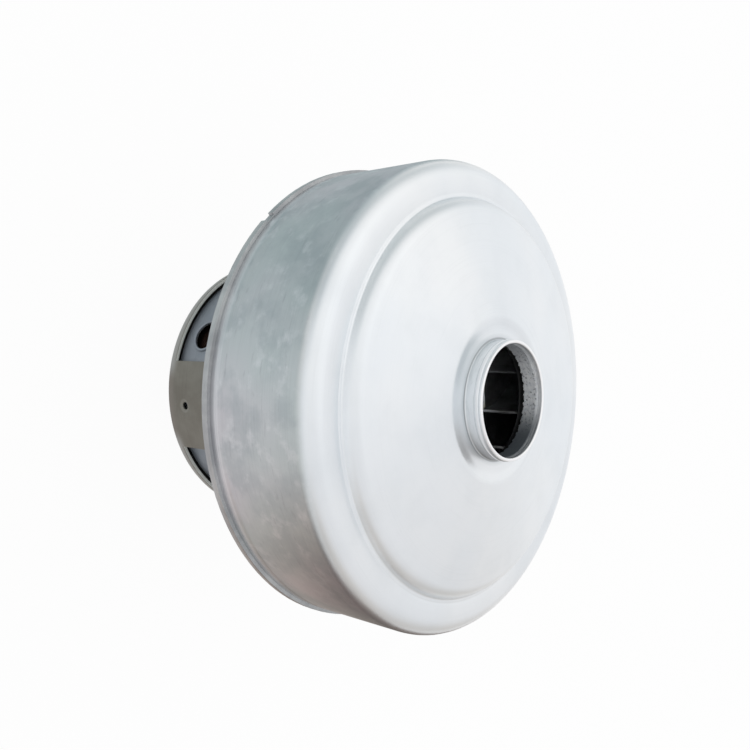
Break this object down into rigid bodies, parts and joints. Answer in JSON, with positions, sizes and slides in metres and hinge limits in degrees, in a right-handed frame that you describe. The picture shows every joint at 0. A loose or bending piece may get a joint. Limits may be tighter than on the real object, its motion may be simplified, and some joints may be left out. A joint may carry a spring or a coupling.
{
  "type": "vacuum motor unit",
  "caption": "Flow-through vacuum cleaner motor: drum-shaped one-stage fan cover with an inlet collar on a windowed cylindrical motor body with a rear bearing boss.",
  "frame": {"origin": "bottom centre: the centre of the rear boss's flat end", "axes": "+Z along the motor axis towards the inlet collar; the brushes slide along X; the supply terminals are on the +Y side"},
  "size_m": [0.135, 0.135, 0.119],
  "materials": {
    "cover_steel": "satin, cold rolled",
    "bracket_steel": "satin, cold rolled",
    "body_steel": "matt, zinc coated",
    "sleeve_steel": "matt blue-grey",
    "fan_aluminium": "mill finish",
    "diffuser_plastic": "moulded, fine grain",
    "fastener_steel": "zinc plated",
    "shaft_steel": "ground",
    "bearing_steel": "ground and polished",
    "lamination_steel": "stacked sheet",
    "insulator_plastic": "moulded",
    "winding_copper": "enamelled wire",
    "commutator_copper": "turned",
    "commutator_resin": "moulded",
    "brush_carbon": "pressed carbon",
    "terminal_brass": "stamped",
    "holder_plastic": "moulded",
    "spring_steel": "drawn wire",
    "cushion_rubber": "moulded"
  },
  "bodies": {
    "housing": {"fan_cover": "cover_steel", "front_bracket": "bracket_steel", "motor_body": "body_steel", "air_sleeve": "sleeve_steel", "diffuser": "diffuser_plastic", "diffuser_screws": "fastener_steel", "body_screws": "fastener_steel", "stator_core": "lamination_steel", "stator_insulators": "insulator_plastic", "field_coil_front": "winding_copper", "field_coil_back": "winding_copper", "rear_bearing_cushion": "cushion_rubber", "brush_holder_screws": "fastener_steel", "terminal_block": "holder_plastic", "terminal_block_screws": "fastener_steel", "supply_terminals": "terminal_brass", "front_bearing_outer_ring": "bearing_steel", "front_bearing_balls": "bearing_steel", "front_bearing_shields": "bearing_steel", "rear_bearing_outer_ring": "bearing_steel", "rear_bearing_balls": "bearing_steel", "rear_bearing_shields": "bearing_steel", "brush_holder_right": "holder_plastic", "brush_cap_right": "holder_plastic", "brush_tube_right": "terminal_brass", "brush_spring_right": "spring_steel", "brush_holder_left": "holder_plastic", "brush_cap_left": "holder_plastic", "brush_tube_left": "terminal_brass", "brush_spring_left": "spring_steel"},
    "rotor": {"shaft": "shaft_steel", "armature_core": "lamination_steel", "armature_insulators": "insulator_plastic", "armature_winding": "winding_copper", "commutator_hub": "commutator_resin", "commutator_bars": "commutator_copper", "fan_back_disc": "fan_aluminium", "fan_front_disc": "fan_aluminium", "fan_blades": "fan_aluminium", "fan_spacer": "fastener_steel", "fan_washer": "fastener_steel", "fan_nut": "fastener_steel", "front_bearing_inner_ring": "bearing_steel", "rear_bearing_inner_ring": "bearing_steel"},
    "brush_right": {"carbon_brush_right": "brush_carbon"},
    "brush_left": {"carbon_brush_left": "brush_carbon"}
  },
  "joints": [
    {"name": "rotor_spin", "type": "hinge", "parent": "housing", "child": "rotor", "pos_m": [0, 0, 0.05], "axis": [0, 0, 1], "continuous": true},
    {"name": "brush_right_slide", "type": "slide", "parent": "housing", "child": "brush_right", "axis": [1, 0, 0], "range_m": [0, 0.005], "stiffness_N_per_m": 200, "springref_m": -0.012, "deforming": ["brush_spring_right"]},
    {"name": "brush_left_slide", "type": "slide", "parent": "housing", "child": "brush_left", "axis": [-1, 0, 0], "range_m": [0, 0.005], "stiffness_N_per_m": 200, "springref_m": -0.012, "deforming": ["brush_spring_left"]}
  ]
}
